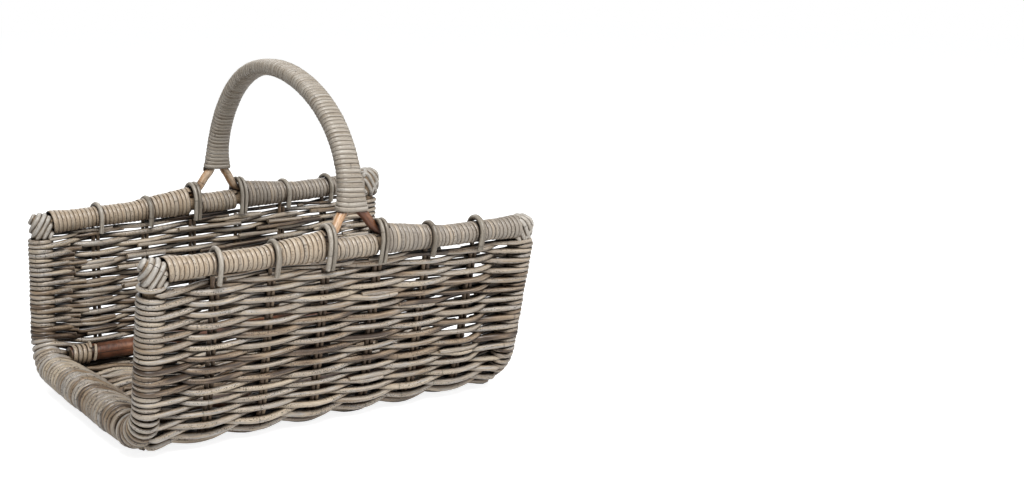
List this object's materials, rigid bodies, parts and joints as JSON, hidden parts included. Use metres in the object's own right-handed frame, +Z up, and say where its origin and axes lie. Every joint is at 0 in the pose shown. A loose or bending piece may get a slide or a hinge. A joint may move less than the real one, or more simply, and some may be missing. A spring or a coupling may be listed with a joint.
{
  "type": "rattan carrying basket",
  "caption": "Open ended carrying basket with woven rod walls and floor, bent pole end frames, wound top rails and a fixed arched handle wound with cane.",
  "frame": {"origin": "on the ground below the middle of the basket's overall size", "axes": "+X along the basket from its left end to its right end, +Y from the front wall to the back wall, +Z up"},
  "size_m": [0.5498, 0.3971, 0.4306],
  "materials": {
    "peeled_pole": "smooth peeled pole, matte",
    "bark_pole": "red brown bark, satin",
    "stake_rod": "unpeeled rod, matte",
    "unpeeled_rod": "unpeeled rod, grey brown, matte",
    "pale_winding": "split cane, satin",
    "grey_winding": "split cane, grey, matte",
    "honey_cane": "cane with its skin, satin",
    "nail_steel": "plain wire nail"
  },
  "bodies": {
    "root": {"left_end_frame": "peeled_pole", "right_end_frame": "peeled_pole", "front_rail": "peeled_pole", "back_rail": "peeled_pole", "front_base_pole": "bark_pole", "back_base_pole": "bark_pole", "stake_1_left": "stake_rod", "stake_1_right": "stake_rod", "stake_2_left": "stake_rod", "stake_2_right": "stake_rod", "stake_3_left": "stake_rod", "stake_3_right": "stake_rod", "stake_4_left": "stake_rod", "stake_4_right": "stake_rod", "stake_5_left": "stake_rod", "stake_5_right": "stake_rod", "stake_6_left": "stake_rod", "stake_6_right": "stake_rod", "front_wall_weaver_1": "unpeeled_rod", "front_wall_weaver_2": "unpeeled_rod", "front_wall_weaver_3": "unpeeled_rod", "front_corner_weaver": "unpeeled_rod", "floor_weaver_1": "unpeeled_rod", "floor_weaver_2": "unpeeled_rod", "floor_weaver_3": "unpeeled_rod", "floor_weaver_4": "unpeeled_rod", "back_corner_weaver": "unpeeled_rod", "back_wall_weaver_1": "unpeeled_rod", "back_wall_weaver_2": "unpeeled_rod", "back_wall_weaver_3": "unpeeled_rod", "front_left_cap": "grey_winding", "front_right_cap": "grey_winding", "back_left_cap": "grey_winding", "back_right_cap": "grey_winding", "handle_winding_front": "grey_winding", "handle_winding_back": "grey_winding", "front_left_nail": "nail_steel", "front_right_nail": "nail_steel", "back_left_nail": "nail_steel", "back_right_nail": "nail_steel", "front_rail_winding_left": "pale_winding", "front_rail_winding_middle": "pale_winding", "front_rail_winding_right": "pale_winding", "back_rail_winding_left": "pale_winding", "back_rail_winding_middle": "pale_winding", "back_rail_winding_right": "pale_winding", "front_pole_binding_left": "pale_winding", "front_pole_binding_right": "pale_winding", "back_pole_binding_left": "pale_winding", "back_pole_binding_right": "pale_winding", "handle_cane_left": "honey_cane", "handle_cane_right": "honey_cane"}
  },
  "joints": []
}
